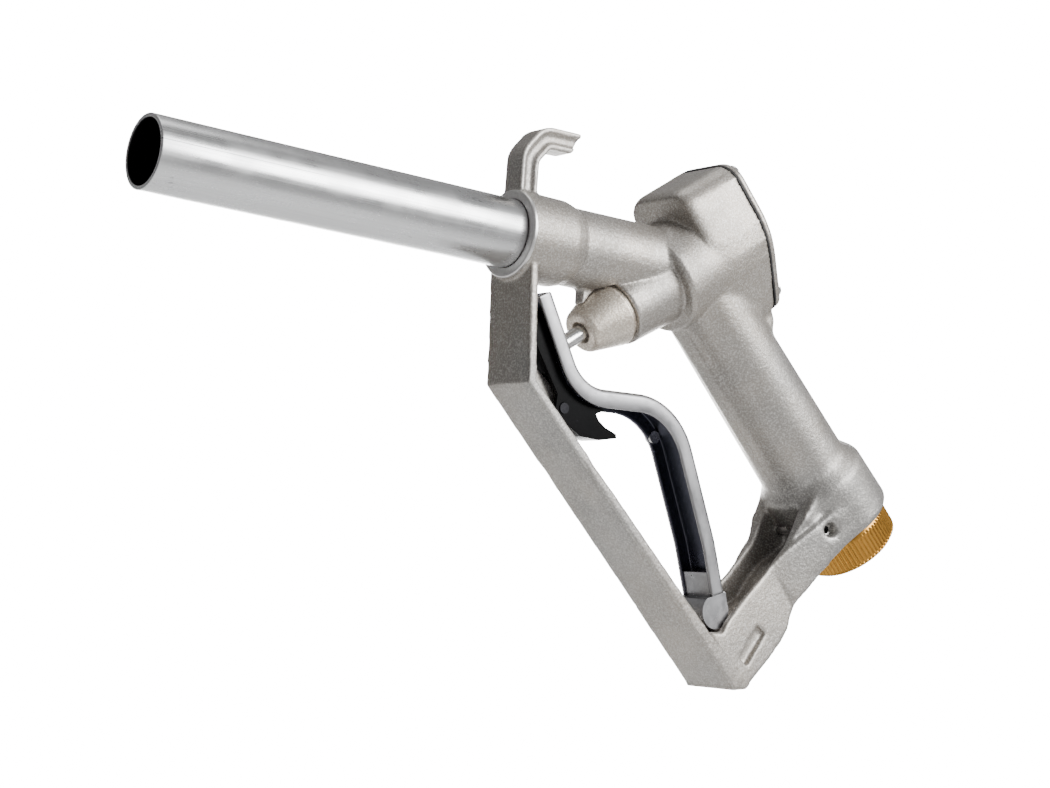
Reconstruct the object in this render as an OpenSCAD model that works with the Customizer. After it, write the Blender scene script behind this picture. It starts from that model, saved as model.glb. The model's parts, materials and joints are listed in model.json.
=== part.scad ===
// Hand-operated fuel nozzle: cast body, drawn spout, poppet valve worked by a lever,
// a hold-open latch in the guard and a swivelling hose inlet.
// X runs back along the spout axis, Z is up and Y = 0 is the plane of symmetry.
// The origin is on the spout axis, at the shoulder of the spout in front of its collar.

/* [Spout and barrel] */
// Outside diameter of the spout tube
spout_d = 25; // [24.6:0.1:25.4]
// Wall of the spout tube
spout_wall = 1.5; // [1.2:0.1:2]
// Length of spout in front of the collar
spout_len = 144.7; // [100:1:180]
// Depth of the spout socket in the collar
socket_depth = 24; // [22:0.5:26]
// Radius of the collar round the spout
collar_r = 16.2; // [15.8:0.1:17]
// Radius of the barrel behind the collar
barrel_r = 14.3; // [14:0.1:14.6]

/* [Hanging hook] */
// Width of the hook
hook_w = 10; // [8:0.5:12]
// Depth of the recess in each side of the hook
hook_recess = 1.4; // [0.8:0.1:2]

/* [Guard] */
// Width of the guard at the collar
guard_w_top = 24.6; // [23:0.2:26]
// Width of the guard at the foot
guard_w_foot = 26.8; // [26:0.2:28]
// Thickness of the upright post
post_t = 3.4; // [3:0.1:3.8]
// Thickness of the slanted bar at its foot
bar_t = 5.6; // [5:0.1:6]

/* [Valve] */
// Slope of the valve axis above the spout axis
valve_tilt = 34.5; // [34:0.5:35]
// Radius of the gland's front face
gland_r = 7.5; // [7.2:0.1:8]
// Radius of the gland boss where it leaves the neck
boss_r = 15.2; // [14.8:0.1:15.6]
// Radius of the neck in front of the valve chamber
neck_r = 20; // [19.5:0.1:20.5]
// Radius of the valve stem
stem_r = 3; // [2.6:0.1:3.2]
// Thickness of the chamber cover
cover_t = 3.6; // [3.2:0.2:4]

/* [Handle and inlet] */
// Slope of the handle axis below the spout axis
handle_tilt = 43.8; // [43.5:0.1:44]
// Radius of the handle at the chamber
handle_r_top = 16.3; // [16:0.1:16.6]
// Radius of the handle at the inlet boss
handle_r_foot = 17.8; // [17.4:0.1:18]
// Radius of the inlet boss
inlet_boss_r = 22.7; // [22.4:0.1:23]
// Radius of the swivel's knurled ring
ring_r = 19.8; // [19.4:0.1:20.2]
// Radius of the inlet's thread, a 1 inch parallel pipe thread
thread_r = 15.15; // [15:0.05:15.3]

/* [Lever] */
// Outside width of the lever channel
lever_w = 17; // [16:0.2:17.4]
// Depth of the channel's flanges
lever_depth = 6.8; // [6.4:0.1:7]
// Sheet thickness of the lever
lever_sheet = 1.6; // [1.2:0.1:1.8]

/* [Latch] */
// Width of the hold-open latch
latch_w = 11; // [10:0.2:11.4]

/* [Hidden] */

$fn = 96;
hull_fn = 32;           // sides of the round children of a hull
eps = 0.5;              // how far a cutter stands past the face it cuts
fit = 0.05;             // radial clearance of a running fit
gap = 0.3;              // clearance between bodies that don't touch

// Fixed points of the side view, [x, z]
gland_at = [37.2, -30.5];       // centre of the gland's front face
inlet_at = [185.4, -94.8];      // centre of the swivel's end face
pivot_at = [106.4, -127.2];     // lever pivot
latch_at = [28.1, -59.7];       // latch pin

spout_r = spout_d / 2;
socket_r = spout_r - 0.5;       // turned-down end of the tube in the collar
flow_r = 9;                     // flow passage in the barrel
lug_t = 4;                      // thickness of the cast lug that carries the latch pin
latch_pin_r = 2;
pivot_pin_r = 2.5;

// Stations along the valve axis, measured from the gland's front face
s_pack = 9;                     // front of the stem packing
pack_len = 5.5;
pack_r = 5.5;
s_nut = 16;                     // back of the gland nut's cone
s_boss = 18;                    // start of the cast boss
s_spigot = 22;                  // end of the gland nut's spigot
nut_spigot_r = 7.5;
nut_groove_r = 6.5;             // root of the O-ring groove in the spigot
s_neck = 41;                    // front of the neck
s_seat = 57.5;                  // front of the valve seat
s_shoulder = 57;                // front of the chamber
s_gasket = 84;                  // joint face of the chamber
gasket_t = 0.8;
s_cover = s_gasket + gasket_t;
s_tip = -11.7;                  // front tip of the stem, against the lever
seat_r = 12;                    // bore of the valve seat
seat_t = 3;
poppet_r = 15;
poppet_t = 4;
seal_t = 1.6;
s_poppet = s_seat + seat_t + seal_t;
cavity_r = 17.2;                // valve chamber, inside
spring_r = 9.5;                 // mean radius of the valve spring
spring_wire = 1.6;
screw_spots = [[23.4, 10], [23.4, -10], [-24.5, 8], [-24.5, -8]];
screw_r = 2;
screw_len = 8;                  // thread length below the joint face
screw_head_r = 3.6;
screw_head_t = 3.4;
sink_t = 1.4;                   // depth of the seat under a screw head
passage_s = 68;                 // passage from the handle into the chamber
passage_r = 7.4;

// Stations along the handle axis, measured back from the swivel's end face
t_boss_end = -13.2;             // end face of the inlet boss
t_flare = -35.5;                // full radius of the inlet boss
t_tube = -42;                   // end of the handle tube
t_disc = -28;                   // full width of the cheeks
t_top = -128;                   // top of the handle tube
t_pin = -23.8;                  // roll pin across the swivel
spigot_r = 18;                  // swivel spigot
spigot_len = 22;
groove_r = 15.9;                // root of the swivel's retaining groove
pin_q = -18.1;                  // distance of the roll pin from the handle axis
roll_pin_r = 2.2;
roll_pin_half = 15;             // half the roll pin's length
ring_end = 1;                   // rim of the swivel's knurled ring
handle_bore_r = 12.6;

// ---------- helpers ----------

function unit(v) = v / norm(v);
function left_of(v) = [-v[1], v[0]];
function turned(v, a) = [v[0] * cos(a) - v[1] * sin(a), v[0] * sin(a) + v[1] * cos(a)];

// Arc that rounds corner q of the path p-q-s, with the path shifted off to its left
function corner(p, q, s, r, off, n) =
    let (u = unit(q - p), w = unit(s - q), nu = left_of(u), nw = left_of(w),
         side = sign(u[0] * w[1] - u[1] * w[0]), phi = acos(u * w),
         c = q + off * (nu + nw) / (1 + nu * nw), rr = r - side * off,
         mid = c - u * rr * tan(phi / 2) + side * rr * nu)
    [for (i = [0:n]) mid + turned(-side * rr * nu, side * phi * i / n)];

// Open path with rounded corners, shifted off to its left
function soft_path(pts, radii, off = 0, n = 8) =
    let (last = len(pts) - 1)
    concat([pts[0] + off * left_of(unit(pts[1] - pts[0]))],
           [for (k = [1:last - 1]) each corner(pts[k - 1], pts[k], pts[k + 1], radii[k - 1], off, n)],
           [pts[last] + off * left_of(unit(pts[last] - pts[last - 1]))]);

function reversed(v) = [for (i = [len(v) - 1:-1:0]) v[i]];

// Band between two offsets of one path
function band(pts, radii, a, b) = concat(soft_path(pts, radii, a), reversed(soft_path(pts, radii, b)));

// Extrudes a side view (x, z) to width w across Y
module side_view(w) {
    rotate([90, 0, 0]) linear_extrude(height = w, center = true) children();
}

// Local Z runs back along the spout axis
module spout_axis() {
    rotate([0, 90, 0]) children();
}

// Local Z runs up the valve axis, and local X up and forwards
module valve_axis() {
    translate([gland_at[0], 0, gland_at[1]]) rotate([0, 90 - valve_tilt, 0])
        rotate([0, 0, 180]) children();
}

// Local Z runs down out of the handle, and local X up and backwards
module handle_axis() {
    translate([inlet_at[0], 0, inlet_at[1]]) rotate([0, 90 + handle_tilt, 0])
        rotate([0, 0, 180]) children();
}

// Round bar between two stations of the local Z axis
module bar_z(z0, z1, r0, r1) {
    translate([0, 0, z0]) cylinder(h = z1 - z0, r1 = r0, r2 = r1);
}

// Round pin across Y at a point of the side view
module pin_y(at, r, y0, y1) {
    translate([at[0], y1, at[1]]) rotate([90, 0, 0]) cylinder(h = y1 - y0, r = r);
}

// O-ring about the local Z axis
module o_ring(z, r, wire) {
    translate([0, 0, z]) rotate_extrude() translate([r, 0]) circle(r = wire, $fn = 24);
}

// ---------- cast body ----------

hook_pts = [[4.9, 8], [4.6, 28.6], [11.4, 36.8], [27, 37.2]];
hook_radii = [7, 6];
hook_half = 4;
hook_flange = 2.1;

// Hook on the collar: a bent bar with a recess down each side
module hook() {
    difference() {
        side_view(hook_w) polygon(band(hook_pts, hook_radii, -hook_half, hook_half));
        for (side = [-1, 1])
            translate([0, side * (hook_w - hook_recess + eps) / 2, 0])
                side_view(hook_recess + eps)
                    polygon(band(hook_pts, hook_radii,
                                 -hook_half + hook_flange, hook_half - hook_flange));
        // slanted end
        side_view(hook_w + 2) polygon([[28.5, 43], [22.5, 32], [32, 32], [32, 43]]);
    }
}

guard_top = [2.2, 0];
guard_bend = [6, -53.7];
guard_foot = [114.6, -156];
bar_dir = unit(guard_foot - guard_bend);

// Post and slanted bar of the guard, narrower at the top
module guard() {
    post_in = guard_bend + [post_t, 1.2];
    intersection() {
        side_view(guard_w_foot) polygon([
            guard_top, guard_bend, guard_foot, guard_foot + bar_t * left_of(bar_dir),
            post_in + [8, -7.1], post_in, guard_top + [post_t, 0]]);
        rotate([90, 0, 90]) linear_extrude(height = 130) polygon([
            [-guard_w_top / 2, 0], [guard_w_top / 2, 0],
            [guard_w_foot / 2, guard_foot[1]], [-guard_w_foot / 2, guard_foot[1]]]);
    }
}

// Web in the corner of the guard that carries the latch pin
module latch_lug() {
    side_view(lug_t) union() {
        polygon([[7, -34], [8, -37], [14, -44], latch_at + [2.2, 4],
                 latch_at + [3.8, -2], [31, -76], [8, -54]]);
        translate(latch_at) circle(r = 4.4, $fn = 48);
    }
}

base_rear = [[120.8, -155.4], [127.8, -147.7], [132.9, -142.5], [138, -137.3], [141.6, -131.6],
             [143.2, -126.5], [145, -122], [148.8, -116.2], [154.2, -108.4]];
base_front = [[151, -67], [149.3, -75], [147, -81], [144.8, -85.5], [143.1, -90], [139, -98.8],
              [134.5, -104.1], [128.2, -111.5], [123, -116.4], [114.5, -125.3], [109.6, -131],
              [107.5, -135], [101.5, -135]];

// Half width of the foot at each height, [z, y]
foot_half = [[-157, guard_w_foot / 2], [-133, 12.3], [-112, 11.1], [-101, 11.1], [-95, 12.9],
             [-89, 15.1], [-82, 16], [-60, 16]];
corner_q = -31;                 // lower corner of the inlet boss, from the handle axis
corner_half = 15.5;

// Side outline of the foot, from the inlet boss down to the end of the guard
module foot_outline() {
    polygon(concat([[114, -156.2]], base_rear, [[176, -84], [168, -64]], base_front));
}

// Cheeks cut to their width at each height
module foot_cheeks() {
    translate([95, 0, 0]) rotate([90, 0, 90]) linear_extrude(height = 85)
        polygon(concat([for (p = foot_half) [p[1], p[0]]],
                       reversed([for (p = foot_half) [-p[1], p[0]]])));
}

// Small block right across both cheeks at a point of the side view
module across(at, half) {
    translate([at[0], -half, at[1]]) cube([1, 2 * half, 1]);
}

// Cheeks that flare from their waist out to the round inlet boss
module boss_flare() {
    hull() {
        across([139.5, -99], 11);
        across([131.5, -107.5], 11);
        across([143.5, -121], 12.6);
        handle_axis() {
            translate([0, 0, t_disc])
                cylinder(h = t_boss_end - t_disc, r = inlet_boss_r - 0.5, $fn = hull_fn);
            translate([corner_q, -corner_half, t_boss_end - 7]) cube([3, 2 * corner_half, 7]);
        }
    }
}

// Outline of the chamber where the cover sits: local x is up, local y across
chamber_half = [[29.4, 10.5], [28.7, 13], [26.8, 15.6], [24, 17.4], [14.6, 19.2], [5.6, 21],
                [-2, 21], [-8.7, 19.4], [-19, 15.8], [-28.4, 12.6], [-30.6, 11], [-31.4, 8.5]];

module chamber_outline() {
    polygon(concat(chamber_half, reversed([for (p = chamber_half) [p[0], -p[1]]])));
}

// Valve chamber: from the round neck to the shield-shaped joint face
module chamber() {
    valve_axis() hull() {
        translate([0, 0, s_gasket - 16]) linear_extrude(height = 16) chamber_outline();
        translate([1.4, 0, s_shoulder + 3]) linear_extrude(height = 1) scale(0.96) chamber_outline();
        translate([2.2, 0, s_shoulder]) linear_extrude(height = 1) scale(0.9) chamber_outline();
    }
}

web_t = 5;

module casting_outside() {
    spout_axis() {
        bar_z(gap, 1.2 + gap, collar_r - 0.8, collar_r);
        bar_z(1.2 + gap, 21, collar_r, collar_r - 0.2);
        bar_z(21, 25, collar_r - 0.2, barrel_r + 0.6);
        bar_z(25, 26, barrel_r, barrel_r);
        bar_z(26, 84, barrel_r + 0.15, barrel_r + 0.5);
    }
    hook();
    guard();
    latch_lug();
    valve_axis() {
        bar_z(s_boss, s_boss + 22, boss_r - 1.6, boss_r);
        bar_z(s_boss + 22, s_neck + 2, boss_r, boss_r);
        bar_z(s_neck, s_neck + 1.5, neck_r - 1.2, neck_r);
        bar_z(s_neck + 1.5, s_shoulder + 4, neck_r, neck_r);
    }
    chamber();
    // web between barrel and gland boss
    side_view(web_t) polygon([[35, -8], [35, -20.5], [39, -25], [52, -25], [52, -8]]);
    // shoulder below the cover, down to the back of the handle
    side_view(20) polygon([[100, -22], [112, 0], [122.6, -8.4], [125, -10], [126, -13.2], [125.6, -17],
                           [124, -20.5], [112, -32]]);
    handle_axis() {
        bar_z(t_top, t_tube, handle_r_top, handle_r_foot);
        bar_z(t_tube, t_flare, handle_r_foot, inlet_boss_r - 0.6);
        bar_z(t_flare, t_boss_end - 1, inlet_boss_r - 0.6, inlet_boss_r);
        bar_z(t_boss_end - 1, t_boss_end, inlet_boss_r, inlet_boss_r - 1);
        // rib down the front of the handle
        translate([-17.3, -4.5, t_top]) cube([10, 9, t_tube - t_top]);
    }
    intersection() {
        side_view(60) foot_outline();
        union() {
            foot_cheeks();
            boss_flare();
        }
    }
}

pocket_half = 9.2;              // half the space between the cheeks

pocket_roof_r = 20.8;           // inlet boss left above the pocket

// Space between the cheeks, open towards the lever
module foot_pocket() {
    difference() {
        side_view(2 * pocket_half) polygon([
            [98, -118], [98, -134.8], [108.5, -134.8], [112.3, -132.6], [115.5, -129.5], [118, -128.6],
            [126, -125.5], [133.5, -120.5], [138, -113.5], [143, -107.5], [156.5, -98], [158, -90],
            [150, -83.8], [130, -83.8]]);
        handle_axis() bar_z(t_top, 0, handle_r_top, pocket_roof_r);
        handle_axis() bar_z(t_flare - 2, 0, pocket_roof_r, pocket_roof_r);
    }
}

slot_at = [123.1, -138.7];
slot_len = 15.6;
slot_w = 5;
slot_slope = 55;
slot_deep = 3.2;

// Lock slot in each side of the foot
module lock_slots() {
    for (side = [-1, 1])
        translate([slot_at[0], side * (guard_w_foot - slot_deep + 1) / 2, slot_at[1]])
            rotate([0, -slot_slope, 0]) cube([slot_len, slot_deep + 1, slot_w], center = true);
}

module casting_inside() {
    spout_axis() {
        bar_z(-eps, 1, spout_r + 0.9, spout_r + 0.3);
        bar_z(-eps, socket_depth, socket_r + fit, socket_r + fit);
        bar_z(socket_depth - eps, 82, flow_r, flow_r);
        // groove of the spout's O-ring
        translate([0, 0, 15]) rotate_extrude() translate([socket_r, -1]) square([1.9, 2]);
    }
    valve_axis() {
        // room for the gland nut under the barrel
        bar_z(-eps, 1, gland_r + gap, gland_r + 0.9 + gap);
        bar_z(1, s_nut, gland_r + 0.9 + gap, boss_r - 2.3 + gap);
        bar_z(s_nut - eps, s_boss, boss_r - 2.3 + gap, boss_r - 2.3 + gap);
        bar_z(s_boss - eps, s_spigot + eps, nut_spigot_r + fit, nut_spigot_r + fit);
        bar_z(s_spigot, s_neck + 5, stem_r + 1.2, stem_r + 1.2);
        bar_z(s_neck + 4, s_seat + eps, seat_r + 1.5, seat_r + 1.5);
        bar_z(s_seat, s_seat + seat_t + eps, seat_r + 2.5, seat_r + 2.5);
        bar_z(s_seat + seat_t, s_gasket + eps, cavity_r, cavity_r);
        // passage from the handle into the chamber
        translate([0, 0, passage_s]) rotate([0, -90, 0]) cylinder(h = 34, r = passage_r);
        for (p = screw_spots) translate([p[0], p[1], s_gasket - screw_len])
            cylinder(h = screw_len + eps, r = screw_r + fit, $fn = 32);
    }
    handle_axis() {
        bar_z(-113, t_flare + 0.6, handle_bore_r, handle_bore_r);
        bar_z(t_flare, t_boss_end + eps, spigot_r + fit, spigot_r + fit);
        // roll pin hole across the swivel groove
        translate([pin_q, 30, t_pin]) rotate([90, 0, 0]) cylinder(h = 60, r = roll_pin_r + 0.01, $fn = 48);
        for (side = [-1, 1]) translate([pin_q, side * (roll_pin_half + 5), t_pin])
            rotate([90, 0, 0]) cylinder(h = 10, r = roll_pin_r + 0.6, center = true, $fn = 48);
    }
    foot_pocket();
    lock_slots();
    pin_y(latch_at, latch_pin_r, -lug_t, lug_t);
}

// Upright lug between the cheeks that carries the lever's pivot pin
module pivot_lug() {
    difference() {
        side_view(lug_t) union() {
            translate(pivot_at) circle(r = 4.6, $fn = 48);
            polygon([pivot_at + [-3.3, -3.2], pivot_at + [3.6, -2.8], [114, -133], [104, -138]]);
        }
        pin_y(pivot_at, pivot_pin_r, -lug_t, lug_t);
    }
}

module casting() {
    difference() {
        casting_outside();
        casting_inside();
    }
    pivot_lug();
}

foot_top = -20.85;              // joint of foot and inlet boss, from the handle axis
foot_start = -50;               // joint of foot and guard bar, along the handle axis
foot_room = 100;

// Space taken by the foot of the casting, below the inlet boss
module foot_space() {
    handle_axis() translate([foot_top - foot_room, -foot_room / 2, foot_start])
        cube([foot_room, foot_room, foot_room]);
}

module nozzle_body() {
    color("silver") difference() {
        casting();
        foot_space();
    }
}

// Foot of the same casting: cheeks, pocket, lock slots, pivot lug and the end of the guard
module casting_foot() {
    color("silver") intersection() {
        casting();
        foot_space();
    }
}

// ---------- spout ----------

module spout_tube() {
    color("gainsboro") spout_axis() difference() {
        bar_z(-spout_len, 0, spout_r, spout_r);
        bar_z(-eps, socket_depth - 0.5, socket_r, socket_r);
        bar_z(-spout_len - eps, socket_depth, spout_r - spout_wall, spout_r - spout_wall);
    }
}

module spout_o_ring() {
    color("black") spout_axis() translate([0, 0, 15]) difference() {
        rotate_extrude() translate([socket_r + 0.75, 0]) circle(r = 0.7, $fn = 24);
        cylinder(h = 4, r = socket_r + 0.01, center = true);
    }
}

// ---------- gland ----------

module gland_nut() {
    color("silver") valve_axis() difference() {
        union() {
            bar_z(0, 1, gland_r, gland_r + 0.9);
            bar_z(1, s_nut, gland_r + 0.9, boss_r - 2.3);
            bar_z(s_nut, s_boss, boss_r - 2.8, boss_r - 2.8);
            bar_z(s_boss, s_spigot, nut_spigot_r, nut_spigot_r);
        }
        bar_z(-eps, 1.6, stem_r + 0.9, stem_r + 0.5);
        bar_z(-eps, s_spigot, stem_r + fit, stem_r + fit);
        bar_z(s_pack, s_spigot + 1, pack_r, pack_r);
        // groove of the O-ring
        translate([0, 0, s_boss + 1]) rotate_extrude() translate([nut_groove_r, 0]) square([2, 1.6]);
    }
}

module gland_o_ring() {
    color("black") valve_axis() difference() {
        o_ring(s_boss + 1.8, nut_groove_r + 0.5, 0.52);
        bar_z(s_boss, s_spigot, nut_groove_r + 0.01, nut_groove_r + 0.01);
    }
}

module stem_packing() {
    color("white") valve_axis() difference() {
        bar_z(s_pack, s_pack + pack_len, pack_r - 0.02, pack_r - 0.02);
        bar_z(s_pack - 1, s_pack + pack_len + 1, stem_r + fit, stem_r + fit);
    }
}

module packing_washer() {
    color("gold") valve_axis() difference() {
        bar_z(s_pack + pack_len, s_pack + pack_len + 1.5, pack_r - 0.1, pack_r - 0.1);
        bar_z(s_pack, s_nut + 1, stem_r + 0.2, stem_r + 0.2);
    }
}

// ---------- valve ----------

module valve_seat() {
    color("gold") valve_axis() difference() {
        bar_z(s_seat + 0.02, s_seat + seat_t, seat_r + 2.48, seat_r + 2.48);
        bar_z(s_seat - 1, s_seat + seat_t + 1, seat_r, seat_r);
    }
}

s_stem_end = s_poppet + poppet_t + 7;

module valve_stem() {
    color("lightgray") valve_axis() {
        bar_z(s_tip, s_tip + 1.2, stem_r - 1.2, stem_r);
        bar_z(s_tip + 1.2, s_stem_end, stem_r, stem_r);
        // collar that the poppet sits on
        bar_z(s_poppet - seal_t - 3.5, s_poppet - seal_t - 0.5, 5, 5);
    }
}

module valve_poppet() {
    color("gold") valve_axis() difference() {
        union() {
            bar_z(s_poppet, s_poppet + poppet_t, poppet_r, poppet_r);
            bar_z(s_poppet + poppet_t, s_poppet + poppet_t + 2, 7.4, 7.4);
        }
        bar_z(s_poppet - 1, s_poppet + poppet_t + 3, stem_r, stem_r);
    }
}

module poppet_seal() {
    color("black") valve_axis() difference() {
        bar_z(s_poppet - seal_t + 0.05, s_poppet, poppet_r - 0.4, poppet_r - 0.4);
        bar_z(s_poppet - seal_t - 1, s_poppet + 1, stem_r, stem_r);
    }
}

module poppet_nut() {
    color("gray") valve_axis() difference() {
        translate([0, 0, s_poppet + poppet_t + 2]) cylinder(h = 4, r = 5.7, $fn = 6);
        bar_z(s_poppet, s_stem_end + 1, stem_r, stem_r);
    }
}

spring_z0 = s_poppet + poppet_t + 0.85;
spring_z1 = s_cover - 0.85;
spring_turns = 3.5;

// Coil spring: rings of sides points carried up a helix about the local Z axis
module coil(r, wire, z0, z1, turns, sides = 8, steps = 24) {
    n = ceil(turns * steps);
    pts = [for (i = [0:n]) let (a = 360 * turns * i / n, z = z0 + (z1 - z0) * i / n)
        for (k = [0:sides - 1]) let (b = 360 * k / sides)
            [(r + wire / 2 * cos(b)) * cos(a), (r + wire / 2 * cos(b)) * sin(a), z + wire / 2 * sin(b)]];
    walls = [for (i = [0:n - 1], k = [0:sides - 1])
        [i * sides + k, (i + 1) * sides + k,
         (i + 1) * sides + (k + 1) % sides, i * sides + (k + 1) % sides]];
    ends = [[for (k = [0:sides - 1]) k], [for (k = [sides - 1:-1:0]) n * sides + k]];
    polyhedron(points = pts, faces = concat(walls, ends), convexity = 8);
}

module valve_spring() {
    color("darkgray") valve_axis() coil(spring_r, spring_wire, spring_z0, spring_z1, spring_turns);
}

// ---------- chamber cover ----------

module cover_gasket() {
    color("black") valve_axis() difference() {
        translate([0, 0, s_gasket]) linear_extrude(height = gasket_t) chamber_outline();
        bar_z(s_gasket - 1, s_cover + 1, cavity_r, cavity_r);
        for (p = screw_spots)
            translate([p[0], p[1], s_gasket - 1]) cylinder(h = 3, r = screw_r + 0.4, $fn = 32);
    }
}

module chamber_cover() {
    color("silver") valve_axis() difference() {
        union() {
            translate([0, 0, s_cover]) linear_extrude(height = cover_t - 1.4) chamber_outline();
            translate([0, 0, s_cover + cover_t - 1.4 - eps])
                linear_extrude(height = 1.4 + eps) scale(0.96) chamber_outline();
            bar_z(s_cover + cover_t - eps, s_cover + cover_t + 1.4, 15.5, 13.5);
        }
        for (p = screw_spots) translate([p[0], p[1], s_cover]) {
            translate([0, 0, -1]) cylinder(h = cover_t + 2, r = screw_r + 0.4, $fn = 32);
            translate([0, 0, cover_t - sink_t]) cylinder(h = 4, r = screw_head_r + 0.4, $fn = 32);
        }
    }
}

module cover_screws() {
    shank = screw_len - 0.5 + gasket_t + cover_t - sink_t;
    color("dimgray") valve_axis() for (p = screw_spots)
        translate([p[0], p[1], s_cover + cover_t - sink_t]) {
            translate([0, 0, -shank]) cylinder(h = shank, r = screw_r, $fn = 32);
            difference() {
                cylinder(h = screw_head_t, r = screw_head_r, $fn = 48);
                translate([0, 0, sink_t]) cylinder(h = screw_head_t, r = 2, $fn = 6);
            }
        }
}

// ---------- inlet ----------

thread_depth = 20;

module inlet_swivel() {
    color("goldenrod") handle_axis() difference() {
        union() {
            bar_z(t_boss_end + gap, t_boss_end + 1.5, ring_r - 1.1, ring_r - 0.9);
            bar_z(t_boss_end + 1.5, t_boss_end + 2.8, ring_r - 0.9, ring_r);
            bar_z(t_boss_end + 2.8, ring_end - 1.4, ring_r, ring_r);
            bar_z(ring_end - 1.4, ring_end, ring_r, ring_r - 1.6);
            bar_z(t_boss_end - spigot_len + gap, t_boss_end + 1, spigot_r, spigot_r);
        }
        bar_z(-thread_depth, ring_end + 1, thread_r, thread_r);
        // recess of the flat washer
        bar_z(-thread_depth, -thread_depth + 2.2, thread_r + 0.4, thread_r + 0.4);
        bar_z(ring_end - 1.2, ring_end + 0.1, thread_r, thread_r + 1.3);
        bar_z(-60, 1, 11.5, 11.5);
        // retaining groove and the two O-ring grooves
        translate([0, 0, t_pin - 2.3]) rotate_extrude() translate([groove_r - gap, 0]) square([4, 4.6]);
        for (z = [t_boss_end - 5.4, t_boss_end - 19])
            translate([0, 0, z]) rotate_extrude() translate([spigot_r - 1.4, 0]) square([3, 2.2]);
    }
}

module swivel_o_rings() {
    color("black") handle_axis() for (z = [t_boss_end - 4.3, t_boss_end - 17.9])
        o_ring(z, spigot_r - 0.7, 0.68);
}

module hose_washer() {
    color("black") handle_axis() difference() {
        bar_z(-thread_depth + 0.02, -thread_depth + 2, thread_r - 0.4, thread_r - 0.4);
        bar_z(-thread_depth - 1, -thread_depth + 3, 11.8, 11.8);
    }
}

module swivel_roll_pin() {
    color("lightgray") handle_axis() translate([pin_q, 0, t_pin]) rotate([90, 0, 0]) difference() {
        cylinder(h = 2 * roll_pin_half, r = roll_pin_r, center = true, $fn = 48);
        cylinder(h = 40, r = roll_pin_r - 0.7, center = true, $fn = 32);
    }
}

module inlet_strainer() {
    color("gold") handle_axis() difference() {
        union() {
            bar_z(-62, t_flare - 0.3, handle_bore_r - 4, handle_bore_r - 0.3);
            bar_z(t_flare - 2, t_flare - 0.3, handle_bore_r - fit, handle_bore_r - fit);
        }
        bar_z(-61, t_flare + 1, handle_bore_r - 4.8, handle_bore_r - 0.9);
        for (a = [0:60:300], z = [-56:6:-42])
            translate([0, 0, z]) rotate([0, 90, a + z * 5]) cylinder(h = 20, r = 1.6, $fn = 24);
        translate([0, 0, -64]) cylinder(h = 4, r = 3, $fn = 24);
    }
}

// ---------- lever ----------

lever_pts = [[16.4, -18.6], [35, -51], [81.4, -49.2], [104.5, -100.7], [110.8, -119.4]];
lever_radii = [16.2, 29.4, 60];

// Bent sheet channel, open towards the guard
module trigger_lever() {
    color("lightgray") difference() {
        side_view(lever_w) polygon(band(lever_pts, lever_radii, 0, -lever_depth));
        side_view(lever_w - 2 * lever_sheet)
            polygon(band(lever_pts, lever_radii, -lever_sheet, -lever_depth - 1));
        // level top edge
        translate([0, -10, -19.4]) cube([30, 20, 6]);
        pin_y(rivet_at, 1.2, 0, lever_w);
    }
}

rivet_at = [82, -63.4];

module lever_rivet() {
    color("whitesmoke") {
        pin_y(rivet_at, 1.2, lever_w / 2 - lever_sheet - 1, lever_w / 2 + 0.6);
        pin_y(rivet_at, 2.4, lever_w / 2 - lever_sheet - 1.1, lever_w / 2 - lever_sheet);
        pin_y(rivet_at, 2, lever_w / 2, lever_w / 2 + 0.8);
    }
}

block_r = 6.6;

// Forked end of the lever that turns on the pivot pin
module lever_pivot_block() {
    end_dir = unit(lever_pts[4] - lever_pts[3]);
    joint = lever_pts[4] + 0.05 * end_dir;
    back = lever_pts[4] - (lever_sheet + 0.05) * left_of(end_dir);
    front = lever_pts[4] - (lever_depth - 0.8) * left_of(end_dir);
    color("silver") difference() {
        union() {
            side_view(lever_w) difference() {
                union() {
                    translate(pivot_at) circle(r = block_r, $fn = 64);
                    polygon([joint, joint - lever_depth * left_of(end_dir),
                             pivot_at + [-block_r, -0.6], pivot_at + [block_r - 0.1, 0]]);
                }
                // straight joint with the channel's end
                translate(joint) rotate(atan2(end_dir[1], end_dir[0]))
                    translate([-block_r, -2 * lever_depth]) square([block_r, 3 * lever_depth]);
            }
            // tongue inside the channel
            side_view(lever_w - 2 * lever_sheet - 0.1)
                polygon([back + end_dir, front + end_dir, front - 9 * end_dir, back - 9 * end_dir]);
        }
        // slot for the cast lug
        side_view(lug_t + 2 * gap) union() {
            translate(pivot_at) circle(r = 5.2, $fn = 48);
            polygon([pivot_at + [-9, 0.5], pivot_at + [5.2, 0.5], pivot_at + [8, -12], pivot_at + [-9, -12]]);
        }
        pin_y(pivot_at, pivot_pin_r + fit, -lever_w / 2 + 1.8, lever_w);
    }
}

module lever_pivot_pin() {
    color("lightgray") pin_y(pivot_at, pivot_pin_r, -lever_w / 2 + 2, lever_w / 2 - 0.2);
}

// ---------- latch ----------

latch_slot = 7.8;

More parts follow.
